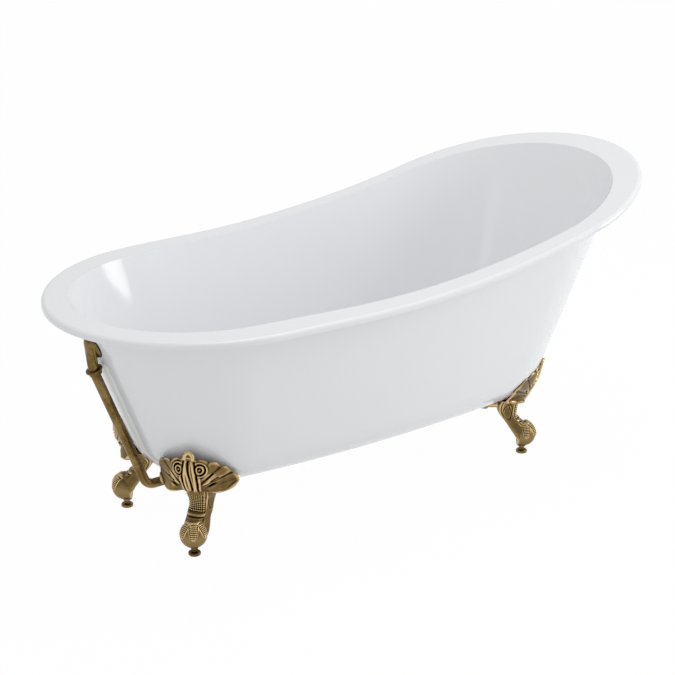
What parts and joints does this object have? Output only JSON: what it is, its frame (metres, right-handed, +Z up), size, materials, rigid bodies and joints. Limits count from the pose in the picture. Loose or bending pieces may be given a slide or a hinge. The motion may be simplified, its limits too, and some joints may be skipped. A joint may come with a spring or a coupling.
{
  "type": "clawfoot bathtub",
  "caption": "Freestanding slipper bath with a rolled rim and one raised end, on four ball-and-claw feet, with an exposed overflow pipe to its waste.",
  "frame": {"origin": "floor level, under the middle of the rim's length and width", "axes": "+Z up; +X along the bath toward the raised back-rest end, so the overflow and waste are at -X; +Y across it"},
  "size_m": [1.5489, 0.762, 0.7337],
  "materials": {
    "white_enamel": "glossy white enamel over cast iron",
    "antique_brass_casting": "cast iron with an antique brass finish, dark in the recesses",
    "antique_brass": "satin antique brass",
    "zinc_steel": "zinc-plated steel",
    "black_rubber": "matte black rubber"
  },
  "bodies": {
    "bath": {"tub_shell": "white_enamel", "claw_foot_low_near": "antique_brass_casting", "foot_bolt_low_near": "zinc_steel", "foot_washer_low_near": "zinc_steel", "jam_nut_low_near": "antique_brass", "claw_foot_low_far": "antique_brass_casting", "foot_bolt_low_far": "zinc_steel", "foot_washer_low_far": "zinc_steel", "jam_nut_low_far": "antique_brass", "claw_foot_high_near": "antique_brass_casting", "foot_bolt_high_near": "zinc_steel", "foot_washer_high_near": "zinc_steel", "jam_nut_high_near": "antique_brass", "claw_foot_high_far": "antique_brass_casting", "foot_bolt_high_far": "zinc_steel", "foot_washer_high_far": "zinc_steel", "jam_nut_high_far": "antique_brass", "overflow_elbow": "antique_brass", "overflow_slip_nut": "antique_brass", "overflow_pipe": "antique_brass", "overflow_plate": "antique_brass", "overflow_screw": "antique_brass", "drain_flange": "antique_brass", "waste_body": "antique_brass", "waste_slip_nut": "antique_brass", "overflow_gasket": "black_rubber", "overflow_seal": "black_rubber", "drain_seal": "black_rubber", "waste_gasket": "black_rubber"},
    "pad_low_near": {"levelling_pad_low_near": "antique_brass"},
    "screw_low_near": {"levelling_screw_low_near": "antique_brass"},
    "pad_low_far": {"levelling_pad_low_far": "antique_brass"},
    "screw_low_far": {"levelling_screw_low_far": "antique_brass"},
    "pad_high_near": {"levelling_pad_high_near": "antique_brass"},
    "screw_high_near": {"levelling_screw_high_near": "antique_brass"},
    "pad_high_far": {"levelling_pad_high_far": "antique_brass"},
    "screw_high_far": {"levelling_screw_high_far": "antique_brass"},
    "plug": {"drain_plug": "antique_brass", "plug_seal": "black_rubber"}
  },
  "joints": [
    {"name": "level_low_near", "type": "slide", "parent": "bath", "child": "pad_low_near", "axis": [0, 0, 1], "range_m": [-0.012, 0.0045]},
    {"name": "turn_low_near", "type": "hinge", "parent": "pad_low_near", "child": "screw_low_near", "pos_m": [-0.5544, -0.1525, 0.003], "axis": [0, 0, 1], "range_deg": [-2881, 1081]},
    {"name": "level_low_far", "type": "slide", "parent": "bath", "child": "pad_low_far", "axis": [0, 0, 1], "range_m": [-0.012, 0.0045]},
    {"name": "turn_low_far", "type": "hinge", "parent": "pad_low_far", "child": "screw_low_far", "pos_m": [-0.5544, 0.1525, 0.003], "axis": [0, 0, 1], "range_deg": [-2881, 1081]},
    {"name": "level_high_near", "type": "slide", "parent": "bath", "child": "pad_high_near", "axis": [0, 0, 1], "range_m": [-0.012, 0.0045]},
    {"name": "turn_high_near", "type": "hinge", "parent": "pad_high_near", "child": "screw_high_near", "pos_m": [0.4082, -0.1525, 0.003], "axis": [0, 0, 1], "range_deg": [-2881, 1081]},
    {"name": "level_high_far", "type": "slide", "parent": "bath", "child": "pad_high_far", "axis": [0, 0, 1], "range_m": [-0.012, 0.0045]},
    {"name": "turn_high_far", "type": "hinge", "parent": "pad_high_far", "child": "screw_high_far", "pos_m": [0.4082, 0.1525, 0.003], "axis": [0, 0, 1], "range_deg": [-2881, 1081]},
    {"name": "plug_lift", "type": "slide", "parent": "bath", "child": "plug", "axis": [0, 0, 1], "range_m": [0, 0.008]}
  ],
  "couplings": [
    {"joint": "turn_low_near", "follows": "level_low_near", "rad_per_m": 4188.8},
    {"joint": "turn_low_far", "follows": "level_low_far", "rad_per_m": 4188.8},
    {"joint": "turn_high_near", "follows": "level_high_near", "rad_per_m": 4188.8},
    {"joint": "turn_high_far", "follows": "level_high_far", "rad_per_m": 4188.8}
  ]
}
